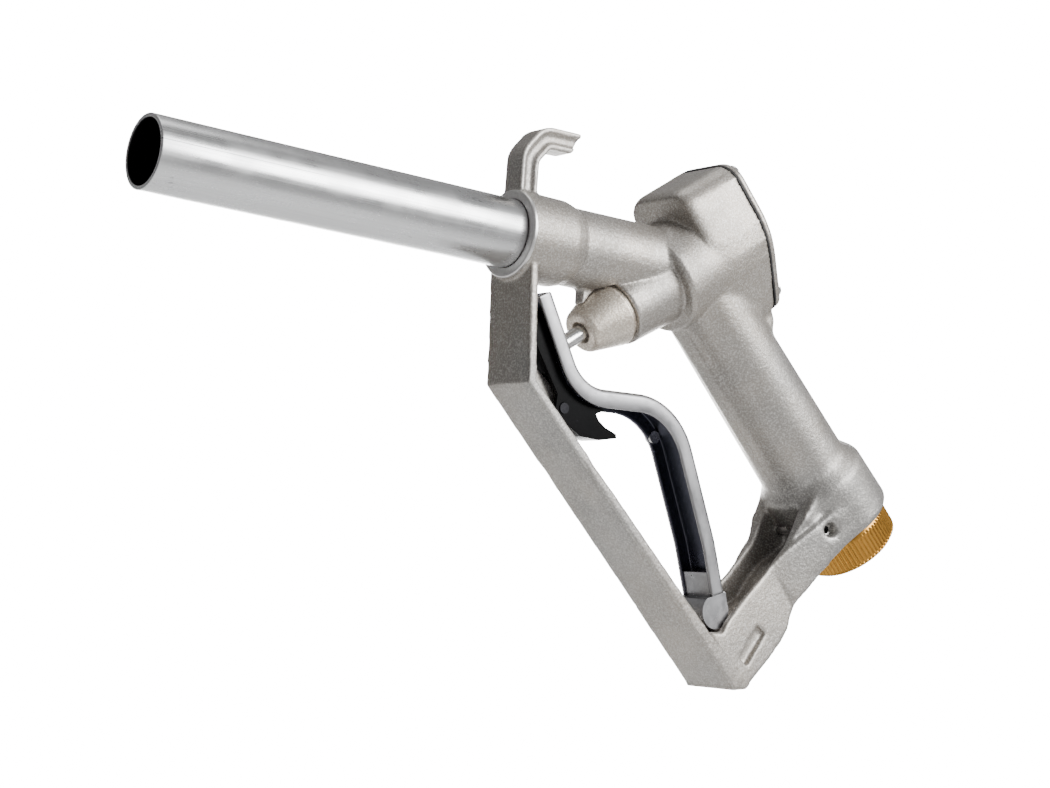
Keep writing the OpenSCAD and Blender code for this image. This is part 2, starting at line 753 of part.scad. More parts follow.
module hold_open_latch() {
    color([0.1, 0.1, 0.11]) difference() {
        side_view(latch_w) polygon([
            [9.6, -26.6], [15.4, -26.6], [19.6, -34.5], [24.2, -44], [29, -51], [34, -54.4],
            [40.5, -56.6], [47.6, -58], [43.4, -59.8], [44.8, -62], [48.2, -64.2], [53.6, -66],
            [53.8, -67.6], [46, -69.2], [36.8, -68.8], [32, -66.2], [26, -63.6], [24.2, -60],
            [24.6, -55], [19.8, -48.2], [14.6, -40.6], [11, -34]]);
        side_view(latch_slot) union() {
            translate(latch_at) circle(r = 5.4, $fn = 48);
            polygon([[10, -38], [22, -48], latch_at + [4, 3.6], latch_at + [5.4, 0],
                     latch_at + [6.2, -14], [18, -66]]);
        }
        pin_y(latch_at, latch_pin_r + fit, -latch_w, latch_w);
    }
}

module latch_pin() {
    color("dimgray") pin_y(latch_at, latch_pin_r, -latch_w / 2 - 0.4, latch_w / 2 + 0.4);
}

// Torsion spring wound round the latch pin
module latch_spring() {
    color("gray") translate([latch_at[0], 0, latch_at[1]]) rotate([90, 0, 0]) {
        coil(2.9, 0.6, 2.5, 3.5, 1.3, 8, 20);
    }
}

nozzle_body();
casting_foot();
spout_tube();
spout_o_ring();
gland_nut();
gland_o_ring();
stem_packing();
packing_washer();
valve_seat();
chamber_cover();
cover_gasket();
cover_screws();
lever_pivot_pin();
latch_pin();
swivel_roll_pin();
inlet_strainer();
valve_stem();
valve_poppet();
poppet_seal();
poppet_nut();
valve_spring();
trigger_lever();
lever_pivot_block();
lever_rivet();
hold_open_latch();
latch_spring();
inlet_swivel();
swivel_o_rings();
hose_washer();
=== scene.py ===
"""Fuel nozzle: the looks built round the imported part, in metres, in the part's own frame."""

import json
import math

import bmesh
import bpy
import numpy as np
from mathutils import Matrix, Vector


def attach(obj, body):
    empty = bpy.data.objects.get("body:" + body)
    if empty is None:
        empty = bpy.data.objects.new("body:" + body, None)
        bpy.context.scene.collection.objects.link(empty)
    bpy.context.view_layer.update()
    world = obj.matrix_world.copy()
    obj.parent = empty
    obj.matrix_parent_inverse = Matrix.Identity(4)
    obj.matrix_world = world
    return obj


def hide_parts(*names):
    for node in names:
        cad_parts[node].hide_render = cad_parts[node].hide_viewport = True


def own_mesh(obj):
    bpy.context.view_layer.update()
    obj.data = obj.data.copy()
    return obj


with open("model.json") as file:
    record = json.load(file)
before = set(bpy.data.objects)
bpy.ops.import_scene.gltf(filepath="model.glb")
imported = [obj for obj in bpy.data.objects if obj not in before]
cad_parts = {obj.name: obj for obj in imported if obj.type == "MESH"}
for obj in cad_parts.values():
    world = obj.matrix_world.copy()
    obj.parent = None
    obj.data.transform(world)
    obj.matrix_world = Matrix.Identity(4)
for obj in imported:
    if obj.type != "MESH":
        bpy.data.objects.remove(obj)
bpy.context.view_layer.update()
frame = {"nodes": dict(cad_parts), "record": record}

MM = 0.001
NODES = frame["nodes"]

# ---------------------------------------------------------------- fixed directions of the part
# The valve axis rises 34.5 degrees towards the cover; the handle axis falls 43.8 degrees towards
# the hose. Stations along both axes are the ones used in the part's source.
VALVE_TILT = math.radians(34.5)
HANDLE_TILT = math.radians(43.8)
VALVE_DIR = np.array([math.cos(VALVE_TILT), 0, math.sin(VALVE_TILT)])
HANDLE_DIR = np.array([math.cos(HANDLE_TILT), 0, -math.sin(HANDLE_TILT)])
SPOUT_DIR = np.array([1.0, 0, 0])
SPOUT_AT = np.zeros(3)
GLAND_AT = np.array([37.2, 0, -30.5])
INLET_AT = np.array([185.4, 0, -94.8])
LOCK_SLOT_AT = np.array([123.1, 0, -138.7])


# ---------------------------------------------------------------- cast body
# One light-alloy casting: barrel, neck, valve chamber, handle, foot, guard and hanging hook.
# Sand-blasted skin with soft corners, a parting line down the guard and bright rubbed edges.


def nodes_of(mat):
    """The node tree of a new material and its main shader."""
    mat.use_nodes = True
    tree = mat.node_tree
    return tree, tree.nodes["Principled BSDF"]


def link(tree, a, b):
    """Joins output socket a to input socket b."""
    tree.links.new(a, b)


def noise(tree, scale, stretch=(1, 1, 1), detail=4.0, rough=0.55):
    """Noise in object coordinates: value = noise(scale * stretch * position)."""
    coord = tree.nodes.new("ShaderNodeTexCoord")
    place = tree.nodes.new("ShaderNodeMapping")
    place.inputs["Scale"].default_value = stretch
    tex = tree.nodes.new("ShaderNodeTexNoise")
    tex.inputs["Scale"].default_value = scale
    tex.inputs["Detail"].default_value = detail
    tex.inputs["Roughness"].default_value = rough
    link(tree, coord.outputs["Object"], place.inputs["Vector"])
    link(tree, place.outputs["Vector"], tex.inputs["Vector"])
    return tex.outputs["Fac"]


def remap(tree, value, a, b, c, d):
    """c + (value - a) / (b - a) * (d - c), eased and held between c and d."""
    node = tree.nodes.new("ShaderNodeMapRange")
    node.interpolation_type = "SMOOTHSTEP"
    for k, v in zip(("From Min", "From Max", "To Min", "To Max"), (a, b, c, d)):
        node.inputs[k].default_value = v
    link(tree, value, node.inputs["Value"])
    return node.outputs["Result"]


def maths(tree, op, a, b=None):
    """One arithmetic step on sockets or numbers."""
    node = tree.nodes.new("ShaderNodeMath")
    node.operation = op
    for i, v in enumerate((a, b)):
        if v is None:
            continue
        if isinstance(v, (int, float)):
            node.inputs[i].default_value = v
        else:
            link(tree, v, node.inputs[i])
    return node.outputs[0]


def mix(tree, fac, a, b):
    """Colour a where fac is 0 and colour b where it is 1."""
    node = tree.nodes.new("ShaderNodeMix")
    node.data_type = "RGBA"
    link(tree, fac, node.inputs[0])
    for i, v in ((6, a), (7, b)):
        if isinstance(v, tuple):
            node.inputs[i].default_value = (*v, 1)
        else:
            link(tree, v, node.inputs[i])
    return node.outputs[2]


def bump(tree, shader, height, depth, strength=1.0):
    """Adds relief of that depth in metres to the shader, over any relief it already has."""
    node = tree.nodes.new("ShaderNodeBump")
    node.inputs["Distance"].default_value = depth
    node.inputs["Strength"].default_value = strength
    link(tree, height, node.inputs["Height"])
    if shader.inputs["Normal"].is_linked:
        link(tree, shader.inputs["Normal"].links[0].from_socket, node.inputs["Normal"])
    link(tree, node.outputs["Normal"], shader.inputs["Normal"])


def axis_of(tree, name):
    """X, Y or Z of the object coordinates."""
    coord = tree.nodes.new("ShaderNodeTexCoord")
    split = tree.nodes.new("ShaderNodeSeparateXYZ")
    link(tree, coord.outputs["Object"], split.inputs[0])
    return split.outputs[name]


def near(tree, value, centre, half):
    """1 at the centre, falling to 0 at half either side of it."""
    off = maths(tree, "ABSOLUTE", maths(tree, "SUBTRACT", value, centre))
    return remap(tree, off, half * 0.3, half, 1.0, 0.0)


def attribute(tree, name):
    """One number per point, stored on the mesh under that name."""
    node = tree.nodes.new("ShaderNodeAttribute")
    node.attribute_name = name
    return node.outputs["Fac"]


def overlay(tree, shader, amount, colour):
    """Lays a colour over the shader's base colour: base + amount * (colour - base)."""
    base = shader.inputs["Base Color"].links[0].from_socket
    link(tree, mix(tree, amount, base, colour), shader.inputs["Base Color"])


def mesh_piece(name, verts, quads, body, mat, stands_for=(), smooth=True):
    """New piece from vertices in millimetres; its normals are turned outwards."""
    mesh = bpy.data.meshes.new(name)
    mesh.from_pydata((np.asarray(verts) * MM).tolist(), [], [list(map(int, q)) for q in quads])
    bm = bmesh.new()
    bm.from_mesh(mesh)
    bmesh.ops.remove_doubles(bm, verts=bm.verts, dist=1e-6)
    bmesh.ops.recalc_face_normals(bm, faces=bm.faces)
    bm.to_mesh(mesh)
    bm.free()
    mesh.polygons.foreach_set("use_smooth", np.full(len(mesh.polygons), smooth))
    piece = bpy.data.objects.new(name, mesh)
    bpy.context.scene.collection.objects.link(piece)
    mesh.materials.append(mat)
    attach(piece, body)
    if stands_for:
        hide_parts(*stands_for)
    return piece


def cast_metal(name, tone, edge_attribute):
    """Satin cast alloy: cloudy warm grey, fine grain, small pits and paler rubbed edges."""
    mat = bpy.data.materials.new(name)
    tree, shader = nodes_of(mat)
    cloud = noise(tree, 38, detail=5)
    warm = noise(tree, 14, detail=3)
    fine = noise(tree, 1500, detail=3)
    cold = tuple(c * 0.93 for c in tone)
    beige = (tone[0] * 1.07, tone[1] * 1.0, tone[2] * 0.92)
    colour = mix(tree, remap(tree, warm, 0.38, 0.62, 0, 1), cold, beige)
    dull = tuple(c * 0.72 for c in tone)
    sparkle = tuple(min(1, c * 1.6) for c in tone)
    colour = mix(tree, remap(tree, cloud, 0.35, 0.75, 0, 0.35), colour, dull)
    colour = mix(tree, remap(tree, fine, 0.45, 0.65, 0, 0.75), colour, sparkle)
    if edge_attribute:
        worn = remap(tree, attribute(tree, "edge"), 0.25, 0.9, 0, 0.75)
        colour = mix(tree, worn, colour, (0.72, 0.70, 0.66))
    link(tree, colour, shader.inputs["Base Color"])
    shader.inputs["Metallic"].default_value = 0.85
    link(tree, remap(tree, cloud, 0.3, 0.7, 0.4, 0.52), shader.inputs["Roughness"])
    bump(tree, shader, noise(tree, 800, detail=4, rough=0.65), 0.00022, 0.8)
    bump(tree, shader, noise(tree, 150, detail=2), 0.0004, 0.45)
    return mat


def casting_marks(mat):
    """Parting line down the middle of guard and handle, and a thin turned line round the barrel."""
    tree = mat.node_tree
    shader = tree.nodes["Principled BSDF"]
    x, y, z = (axis_of(tree, a) for a in "XYZ")
    low_down = remap(tree, z, -0.024, -0.018, 1, 0)
    in_guard = maths(tree, "MULTIPLY", near(tree, y, 0.0004, 0.0005), low_down)
    bump(tree, shader, in_guard, 0.00025, 0.5)
    above = remap(tree, z, -0.0165, -0.0155, 0, 1)
    groove = maths(tree, "MULTIPLY", near(tree, x, 0.0262, 0.0004), above)
    bump(tree, shader, maths(tree, "MULTIPLY", groove, -1.0), 0.0004, 0.8)


def merged_copy(*nodes):
    """Mesh copy of one or more CAD nodes with their doubled corners welded."""
    mesh = NODES[nodes[0]].data.copy()
    bm = bmesh.new()
    for node in nodes:
        bm.from_mesh(NODES[node].data)
    bmesh.ops.remove_doubles(bm, verts=bm.verts, dist=2e-6)
    bmesh.ops.recalc_face_normals(bm, faces=bm.faces)
    bm.to_mesh(mesh)
    bm.free()
    return mesh


def applied(piece, kind, **settings):
    """Puts one modifier on the piece and bakes it into the mesh."""
    mod = piece.modifiers.new(kind.lower(), kind)
    for k, v in settings.items():
        setattr(mod, k, v)
    bpy.context.view_layer.update()
    shown = piece.evaluated_get(bpy.context.evaluated_depsgraph_get())
    done = bpy.data.meshes.new_from_object(shown)
    piece.modifiers.clear()
    piece.data = done


def vertex_array(mesh):
    """Positions of the mesh's vertices, one row each, in metres."""
    co = np.empty(len(mesh.vertices) * 3)
    mesh.vertices.foreach_get("co", co)
    return co.reshape(-1, 3)


def relaxed(co, edges, weight, rounds, step=0.5):
    """Moves each vertex towards the mean of its neighbours: p += step * weight * (mean - p)."""
    a, b = edges.T
    ends = np.r_[a, b]
    count = np.bincount(ends, minlength=len(co))[:, None]
    for _ in range(rounds):
        total = [np.bincount(ends, np.r_[co[b, k], co[a, k]], len(co)) for k in range(3)]
        mean = np.stack(total, 1) / np.maximum(count, 1)
        co = co + step * weight[:, None] * (mean - co)
    return co


def ease(value, low, high):
    """0 below low, 1 above high, smooth in between."""
    t = np.clip((value - low) / (high - low), 0, 1)
    return t * t * (3 - 2 * t)


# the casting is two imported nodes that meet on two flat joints: the foot's top, measured across the
# handle's axis, and the foot's start, measured along it; the faces inside the metal are taken out.
# All in millimetres; ON_JOINT and PAST_JOINT are how far off a joint a corner may lie.
FOOT_TOP, FOOT_START = -20.85, -50.0
ON_JOINT, PAST_JOINT = 0.005, 0.01
VOXEL = 0.6
MOST_TRIANGLES = 190000
CAST_TONE = (0.35, 0.34, 0.325)
HANDLE_UP = np.array([math.sin(HANDLE_TILT), 0, math.cos(HANDLE_TILT)])
casting = bpy.data.objects.new("casting", merged_copy("nozzle_body", "casting_foot"))
bpy.context.scene.collection.objects.link(casting)
corners = np.empty(len(casting.data.polygons) * 3, np.int32)
casting.data.polygons.foreach_get("vertices", corners)
off_inlet = vertex_array(casting.data)[corners.reshape(-1, 3)] / MM - INLET_AT
up, along = off_inlet @ HANDLE_UP, off_inlet @ HANDLE_DIR
on_roof = (np.abs(up - FOOT_TOP) < ON_JOINT) & (along > FOOT_START - PAST_JOINT)
on_bar = (np.abs(along - FOOT_START) < ON_JOINT) & (up < FOOT_TOP + PAST_JOINT)
inner = np.flatnonzero(on_roof.all(1) | on_bar.all(1))
whole = bmesh.new()
whole.from_mesh(casting.data)
whole.faces.ensure_lookup_table()
bmesh.ops.delete(whole, geom=[whole.faces[i] for i in inner], context="FACES")
whole.to_mesh(casting.data)
whole.free()
applied(casting, "REMESH", mode="VOXEL", voxel_size=VOXEL * MM, use_smooth_shade=True)
skin = vertex_array(casting.data)
skin_edges = np.empty(len(casting.data.edges) * 2, np.int32)
casting.data.edges.foreach_get("vertices", skin_edges)
skin_edges = skin_edges.reshape(-1, 2)

# how far along and out from the valve axis, and from the handle axis, each point of the skin lies
off_valve = skin / MM - GLAND_AT
valve_s = off_valve @ VALVE_DIR
valve_r = np.linalg.norm(off_valve - valve_s[:, None] * VALVE_DIR, axis=1)
off_handle = skin / MM - INLET_AT
handle_t = off_handle @ HANDLE_DIR
handle_r = np.linalg.norm(off_handle - handle_t[:, None] * HANDLE_DIR, axis=1)

# the chamber and the handle are smoothed most, the lock slot's edges least
everywhere = np.ones(len(skin))
round_chamber = ease(valve_s, 56, 59) * (1 - ease(valve_s, 76, 80)) * ease(valve_r, 17.8, 19)
round_handle = (ease(handle_t, -122, -116) * (1 - ease(handle_t, -26, -18)) * ease(handle_r, 14.8, 15.5)
                * (1 - ease(skin[:, 2] / MM, -4, 4)))
below = 1 - ease(skin[:, 2] / MM, -88, -80)
round_handle = np.where(below > 0, round_handle * (1 - below) + 0.25 * below, round_handle)
slot_off = skin / MM - LOCK_SLOT_AT
crisp = 1 - 0.85 * ease(-np.linalg.norm(slot_off[:, ::2], axis=1), -13, -10)
skin = relaxed(skin, skin_edges, crisp, 3)
skin = relaxed(skin, skin_edges, round_chamber, 26)
skin = relaxed(skin, skin_edges, np.clip(round_handle, 0, 1) * (1 - round_chamber), 14)
casting.data.vertices.foreach_set("co", skin.ravel())
casting.data.update()
skin_normals = np.empty(len(skin) * 3)
casting.data.vertices.foreach_get("normal", skin_normals)
skin_normals = skin_normals.reshape(-1, 3)
flat = relaxed(skin, skin_edges, everywhere, 2)
edge_value = np.clip(np.einsum("ij,ij->i", skin - flat, skin_normals) / (0.12 * MM), 0, 1)
edge_layer = casting.data.attributes.new("edge", "FLOAT", "POINT")
edge_layer.data.foreach_set("value", edge_value.astype(np.float32))
triangles = len(casting.data.polygons) * 2
if triangles > MOST_TRIANGLES:
    applied(casting, "DECIMATE", ratio=MOST_TRIANGLES / triangles)
casting.data.polygons.foreach_set("use_smooth", np.ones(len(casting.data.polygons), bool))
casting_mat = cast_metal("cast_alloy", CAST_TONE, True)
casting_marks(casting_mat)
casting.data.materials.clear()
casting.data.materials.append(casting_mat)
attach(casting, "body")
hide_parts("nozzle_body", "casting_foot")


# ---------------------------------------------------------------- spout
# Drawn aluminium tube, 25 mm across; its end is turned down and pushed into the collar. Polished
# lengthwise, with a faint seam, a few handling nicks, a thin rounded lip and a bore painted black as shade.
SPOUT_LENGTH, SOCKET_DEPTH = 144.7, 23.5
R_SPOUT, R_SOCKET, R_BORE = 12.5, 12, 11.0


def frame_of(axis):
    """Two directions across an axis: straight across the part, and the one square to both."""
    across = np.array([0.0, 1.0, 0.0])
    return across, np.cross(axis, across)


def grid_quads(rows, cols, ring=False):
    """Quads (k, j), (k + 1, j), (k + 1, j + 1), (k, j + 1) of a grid; j closes, and k does in a ring."""
    k, j = np.meshgrid(np.arange(rows if ring else rows - 1), np.arange(cols), indexing="ij")
    k1, j1 = (k + 1) % rows, (j + 1) % cols
    return np.stack([k * cols + j, k1 * cols + j, k1 * cols + j1, k * cols + j1], -1).reshape(-1, 4)


def capped(rows, cols):
    """Faces of an open grid with its first and last rows closed by one face each."""
    last = (rows - 1) * cols
    return [*grid_quads(rows, cols).tolist(), list(range(cols)), list(range(last, last + cols))]


def lathe(profile, at, axis, steps=128, wave=None):
    """Turned shape: point k at angle a is at + z_k * axis + r_k * (cos a * across + sin a * up).

    The profile is a closed loop of (z, r). wave(z, r, a) adds to the radius.
    """
    z, r = np.asarray(profile, float).T
    angle = np.arange(steps) * 2 * math.pi / steps
    across, up = frame_of(axis)
    radius = np.repeat(r[:, None], steps, 1)
    if wave is not None:
        radius = radius + wave(z[:, None], r[:, None], angle[None, :])
    ring = np.cos(angle)[:, None] * across + np.sin(angle)[:, None] * up
    verts = at + z[:, None, None] * axis + radius[..., None] * ring[None]
    return verts.reshape(-1, 3), grid_quads(len(z), steps, ring=True)


def rounded(points, radius, steps=4):
    """Closed profile with each corner cut to a short arc; radius is one number or one per point."""
    pts = np.asarray(points, float)
    radii = np.broadcast_to(radius, len(pts))
    out = []
    for i, p in enumerate(pts):
        a, b = pts[i - 1] - p, pts[(i + 1) % len(pts)] - p
        la, lb = np.linalg.norm(a), np.linalg.norm(b)
        cut = min(radii[i], 0.45 * la, 0.45 * lb)
        if cut < 1e-3:
            out.append(p)
            continue
        s = np.linspace(0, 1, steps + 1)[:, None]
        start, end = p + a / la * cut, p + b / lb * cut
        out.extend((1 - s) ** 2 * start + 2 * s * (1 - s) * p + s ** 2 * end)
    return np.array(out)


def drawn_metal(name, tone, rough, along=(1, 1, 1), metallic=1.0, lines=900, depth=0.00002):
    """Bright metal with fine lines along one direction, cloudy roughness and a few scratches."""
    mat = bpy.data.materials.new(name)
    tree, shader = nodes_of(mat)
    streak = noise(tree, lines, stretch=along, detail=3)
    broad = noise(tree, 45, stretch=along, detail=3)
    cloud = noise(tree, 60, detail=4)
    darker, brighter = tuple(c * 0.86 for c in tone), tuple(min(1, c * 1.06) for c in tone)
    colour = mix(tree, remap(tree, streak, 0.35, 0.7, 0, 0.5), tone, darker)
    colour = mix(tree, remap(tree, broad, 0.35, 0.65, 0, 0.5), colour, brighter)
    link(tree, colour, shader.inputs["Base Color"])
    shader.inputs["Metallic"].default_value = metallic
    level = maths(tree, "ADD", remap(tree, cloud, 0.3, 0.7, rough * 0.8, rough * 1.2),
                  remap(tree, streak, 0.4, 0.7, 0, rough * 0.25))
    link(tree, level, shader.inputs["Roughness"])
    bump(tree, shader, streak, depth, 0.6)
    bump(tree, shader, noise(tree, 70, detail=2), 0.0002, 0.12)
    return mat


spout_mat = drawn_metal("drawn_aluminium", (0.62, 0.625, 0.63), 0.28, along=(0.012, 1, 1), lines=1600)
tree, shader = nodes_of(spout_mat)
seam = near(tree, axis_of(tree, "Z"), 0.0026, 0.00018)
seam = maths(tree, "MULTIPLY", seam, remap(tree, axis_of(tree, "Y"), -0.011, -0.0105, 1, 0))
seam = maths(tree, "MULTIPLY", seam, remap(tree, axis_of(tree, "X"), -0.09, -0.075, 1, 0))
overlay(tree, shader, seam, (0.22, 0.23, 0.24))
# painted shade: the bore, within 11.05 mm of the axis, is coloured nearly black for the shade inside the tube
squares = [maths(tree, "POWER", axis_of(tree, a), 2.0) for a in "YZ"]
from_axis = maths(tree, "SQRT", maths(tree, "ADD", *squares))
overlay(tree, shader, remap(tree, from_axis, 0.01105, 0.01125, 1, 0), (0.02, 0.02, 0.022))
nick = remap(tree, noise(tree, 160, stretch=(0.35, 1, 1), detail=5, rough=0.7), 0.66, 0.72, 0, 1)
overlay(tree, shader, maths(tree, "MULTIPLY", nick, 0.7), (0.2, 0.2, 0.21))
bump(tree, shader, nick, 0.0001, 0.2)
spout_profile = rounded([(-SPOUT_LENGTH, R_BORE), (-SPOUT_LENGTH, R_SPOUT), (0, R_SPOUT), (0, R_SOCKET),
                         (SOCKET_DEPTH, R_SOCKET), (SOCKET_DEPTH, R_BORE)],
                        [0.45, 0.45, 0.2, 0.1, 0.3, 0.3])
verts, quads = lathe(spout_profile, SPOUT_AT, SPOUT_DIR, 160)
mesh_piece("spout", verts, quads, "body", spout_mat, ["spout_tube"])

# machined face and lead-in of the collar round the spout, part of the casting
collar = rounded([(0.3, 12.6), (0.3, 15.6), (0.8, 16.05), (3.2, 16.1), (3.2, 12.6)], 0.3)
verts, quads = lathe(collar, SPOUT_AT, SPOUT_DIR, 144)
rim_mat = drawn_metal("machined_alloy", (0.66, 0.65, 0.64), 0.34, lines=1200)
mesh_piece("collar_rim", verts, quads, "body", rim_mat)


# ---------------------------------------------------------------- gland nut and valve stem
# Turned nut that screws into the boss below the barrel, cone shaped, with a groove where it meets
# the casting. The polished steel stem comes out of its dark hole and rests on the lever.
gland = rounded([(0.0, 4.2), (0.0, 6.9), (1.0, 8.3), (15.6, 12.7), (16.3, 12.4), (16.5, 11.9), (17.9, 11.9),
                 (18, 7.5), (22, 7.5), (22, 5.6), (9, 5.5), (9, 3.1), (3.2, 3.1), (3.2, 3.9)],
                [0.5, 0.9, 1.2, 0.6, 0.3, 0.3, 0.2, 0.2, 0.3, 0.3, 0.2, 0.2, 0.2, 0.3])
verts, quads = lathe(gland, GLAND_AT, VALVE_DIR)
mesh_piece("gland", verts, quads, "body", cast_metal("gland_alloy", (0.58, 0.54, 0.48), False),
           ["gland_nut"])

steel = drawn_metal("bright_steel", (0.72, 0.72, 0.71), 0.2, lines=1500)
stem = rounded([(-11.7, 0.0), (-11.7, 1.8), (-10.5, 3), (57, 3), (57, 5), (60, 5), (60, 3), (73.1, 3),
                (73.1, 0.0)],
               [0, 0.4, 0.4, 0, 0.3, 0.3, 0, 0.5, 0])
verts, quads = lathe(stem, GLAND_AT, VALVE_DIR, 64)
mesh_piece("stem", verts, quads, "valve", steel, ["valve_stem"])


# ---------------------------------------------------------------- chamber cover
# Shield-shaped cast plate over a black gasket, with a soft outer edge and a domed middle, held by
# four socket screws.
# one half of the outline, as (up the plate, across it), then mirrored, spaced evenly and softened
HALF = np.array([(29.4, 10.5), (28.7, 13), (26.8, 15.6), (24, 17.4), (14.6, 19.2), (5.6, 21), (-2, 21),
                 (-8.7, 19.4), (-19, 15.8), (-28.4, 12.6), (-30.6, 11), (-31.4, 8.5)])
outline = np.r_[HALF, HALF[::-1] * [1, -1]]
step = np.linalg.norm(np.roll(outline, -1, 0) - outline, axis=1)
along = np.r_[0, np.cumsum(step)]
even = np.linspace(0, along[-1], 241)[:-1]
closed = np.r_[outline, outline[:1]]
outline = np.stack([np.interp(even, along, closed[:, k]) for k in (0, 1)], 1)
for _ in range(14):
    outline = 0.5 * outline + 0.25 * (np.roll(outline, 1, 0) + np.roll(outline, -1, 0))
tangent = np.roll(outline, -1, 0) - np.roll(outline, 1, 0)
# towards the middle of the plate, square to its edge
inward = np.stack([-tangent[:, 1], tangent[:, 0]], 1) / np.linalg.norm(tangent, axis=1)[:, None]
inward *= np.sign(np.sum(inward * -outline, 1))[:, None]
valve_across, valve_up = frame_of(VALVE_DIR)
S_COVER, COVER_T, COVER_EDGE, DOME = 84.8, 3.6, 2.2, 1.35
turn = np.linspace(0, math.pi / 2, 7)
edge_in = np.r_[3.0, 0.0, 0.0, COVER_EDGE * (1 - np.cos(turn))[1:], 4.5]
edge_up = np.r_[0.0, 0.0, COVER_T - COVER_EDGE, COVER_T - COVER_EDGE + COVER_EDGE * np.sin(turn)[1:],
                COVER_T + 0.02]
rings = [outline + inward * d for d in edge_in]
dome_size = (0.72, 0.66, 0.62, 0.58, 0.4, 0.2, 0.02)
dome_up = (0.05, 0.5, 1.1, DOME, DOME, DOME, DOME)
local = np.array([*rings, *(rings[-1] * f for f in dome_size)])
heights = np.r_[edge_up, COVER_T + np.array(dome_up)]
verts = (GLAND_AT + (S_COVER + heights)[:, None, None] * VALVE_DIR
         + local[..., 1:] * valve_across + local[..., :1] * valve_up)
n_ring, n_round = local.shape[:2]
mesh_piece("cover", verts.reshape(-1, 3), capped(n_ring, n_round), "body",
           cast_metal("cover_alloy", CAST_TONE, False), ["chamber_cover"])

# black gasket under the cover, following the same outline and standing a little proud of it
GASKET_T, GASKET_PROUD = 0.8, 0.12
local = np.array([outline + inward * d for d in (6.0, -GASKET_PROUD, -GASKET_PROUD, 6.0)])
gasket_up = S_COVER - GASKET_T * np.array([1, 1, 0, 0])
verts = (GLAND_AT + gasket_up[:, None, None] * VALVE_DIR
         + local[..., 1:] * valve_across + local[..., :1] * valve_up)
rubber = bpy.data.materials.new("seal_rubber")
tree, shader = nodes_of(rubber)
rubber_tone = mix(tree, noise(tree, 300), (0.008, 0.008, 0.008), (0.02, 0.02, 0.02))
link(tree, rubber_tone, shader.inputs["Base Color"])
link(tree, remap(tree, noise(tree, 500), 0.3, 0.7, 0.6, 0.8), shader.inputs["Roughness"])
bump(tree, shader, noise(tree, 1200), 0.00004, 0.5)
mesh_piece("gasket", verts.reshape(-1, 3), grid_quads(4, n_round, ring=True), "body",
           rubber, ["cover_gasket"], smooth=False)


# ---------------------------------------------------------------- lever
# Pressed steel channel, zinc plated, bent round the hand; open towards the guard.
PATH = np.array([[16.4, -18.6], [35, -51], [81.4, -49.2], [104.5, -100.7], [110.8, -119.4]])
PATH_RADII = (16.2, 29.4, 60)


def soft_path(points, radii, spacing=0.8):
    """Path with arcs at its corners, resampled evenly, and its unit tangents."""
    pts = [points[0]]
    for p, q, s, r in zip(points, points[1:], points[2:], radii):
        u, w = (q - p) / np.linalg.norm(q - p), (s - q) / np.linalg.norm(s - q)
        side = np.sign(u[0] * w[1] - u[1] * w[0])
        phi = math.acos(np.clip(u @ w, -1, 1))
        across = np.array([-u[1], u[0]])
        centre = q - u * r * math.tan(phi / 2) + side * r * across
        a = side * np.linspace(0, phi, 24)[:, None]
        arm = -side * r * across
        pts.extend(centre + np.cos(a) * arm + np.sin(a) * np.array([-arm[1], arm[0]]))
    pts = np.array([*pts, points[-1]])
    run = np.r_[0, np.cumsum(np.linalg.norm(np.diff(pts, axis=0), axis=1))]
    at = np.linspace(0, run[-1], int(run[-1] / spacing))
    line = np.stack([np.interp(at, run, pts[:, k]) for k in (0, 1)], 1)
    tangent = np.gradient(line, axis=0)
    return line, tangent / np.linalg.norm(tangent, axis=1)[:, None]


def channel(points, radii, half, depth, sheet, bend):
    """Bent channel: the U section (y, n) is carried along the path, n measured to its right."""
    line, tangent = soft_path(points, radii)
    right = np.stack([tangent[:, 1], -tangent[:, 0]], 1)
    a = np.linspace(0, math.pi / 2, 7)
    outer = [(half, depth - 0.5), (half, depth * 0.5)]
    outer += [(half - bend + bend * math.cos(t), bend - bend * math.sin(t)) for t in a]
    outer = np.array([*outer, (half * 0.4, 0.0)])
    r = max(bend - sheet, 0.3)
    inner = [(half - sheet, depth - 0.5), (half - sheet, depth * 0.5)]
    inner += [(half - sheet - r + r * math.cos(t), sheet + r - r * math.sin(t)) for t in a]
    inner = np.array([*inner, ((half - sheet) * 0.4, sheet)])
    mirror = np.array([-1, 1])
    lip = np.array([(half - 0.15, depth - 0.12), (half - sheet / 2, depth),
                    (half - sheet + 0.15, depth - 0.12)])
    section = np.concatenate([lip[::-1], outer, outer[::-1] * mirror, lip * mirror,
                              inner * mirror, inner[::-1]])
    n = len(section)
    verts = np.empty((len(line), n, 3))
    verts[..., 0] = line[:, :1] + right[:, :1] * section[:, 1]
    verts[..., 1] = section[:, 0]
    verts[..., 2] = line[:, 1:] + right[:, 1:] * section[:, 1]
    return verts.reshape(-1, 3), capped(len(line), n)


zinc = drawn_metal("zinc_plate", (0.34, 0.34, 0.35), 0.33, lines=420, depth=0.00004)
HALF_WIDTH, DEPTH, SHEET, BEND = 8.5, 6.8, 1.6, 2.2
verts, faces = channel(PATH, PATH_RADII, HALF_WIDTH, DEPTH, SHEET, BEND)
# the upper end is cut level, so that it stays below the collar when the lever is pulled
TOP_EDGE = -19.5
verts[:, 2] = np.minimum(verts[:, 2], TOP_EDGE)
lever = mesh_piece("lever", verts, faces, "lever", zinc, ["trigger_lever"])
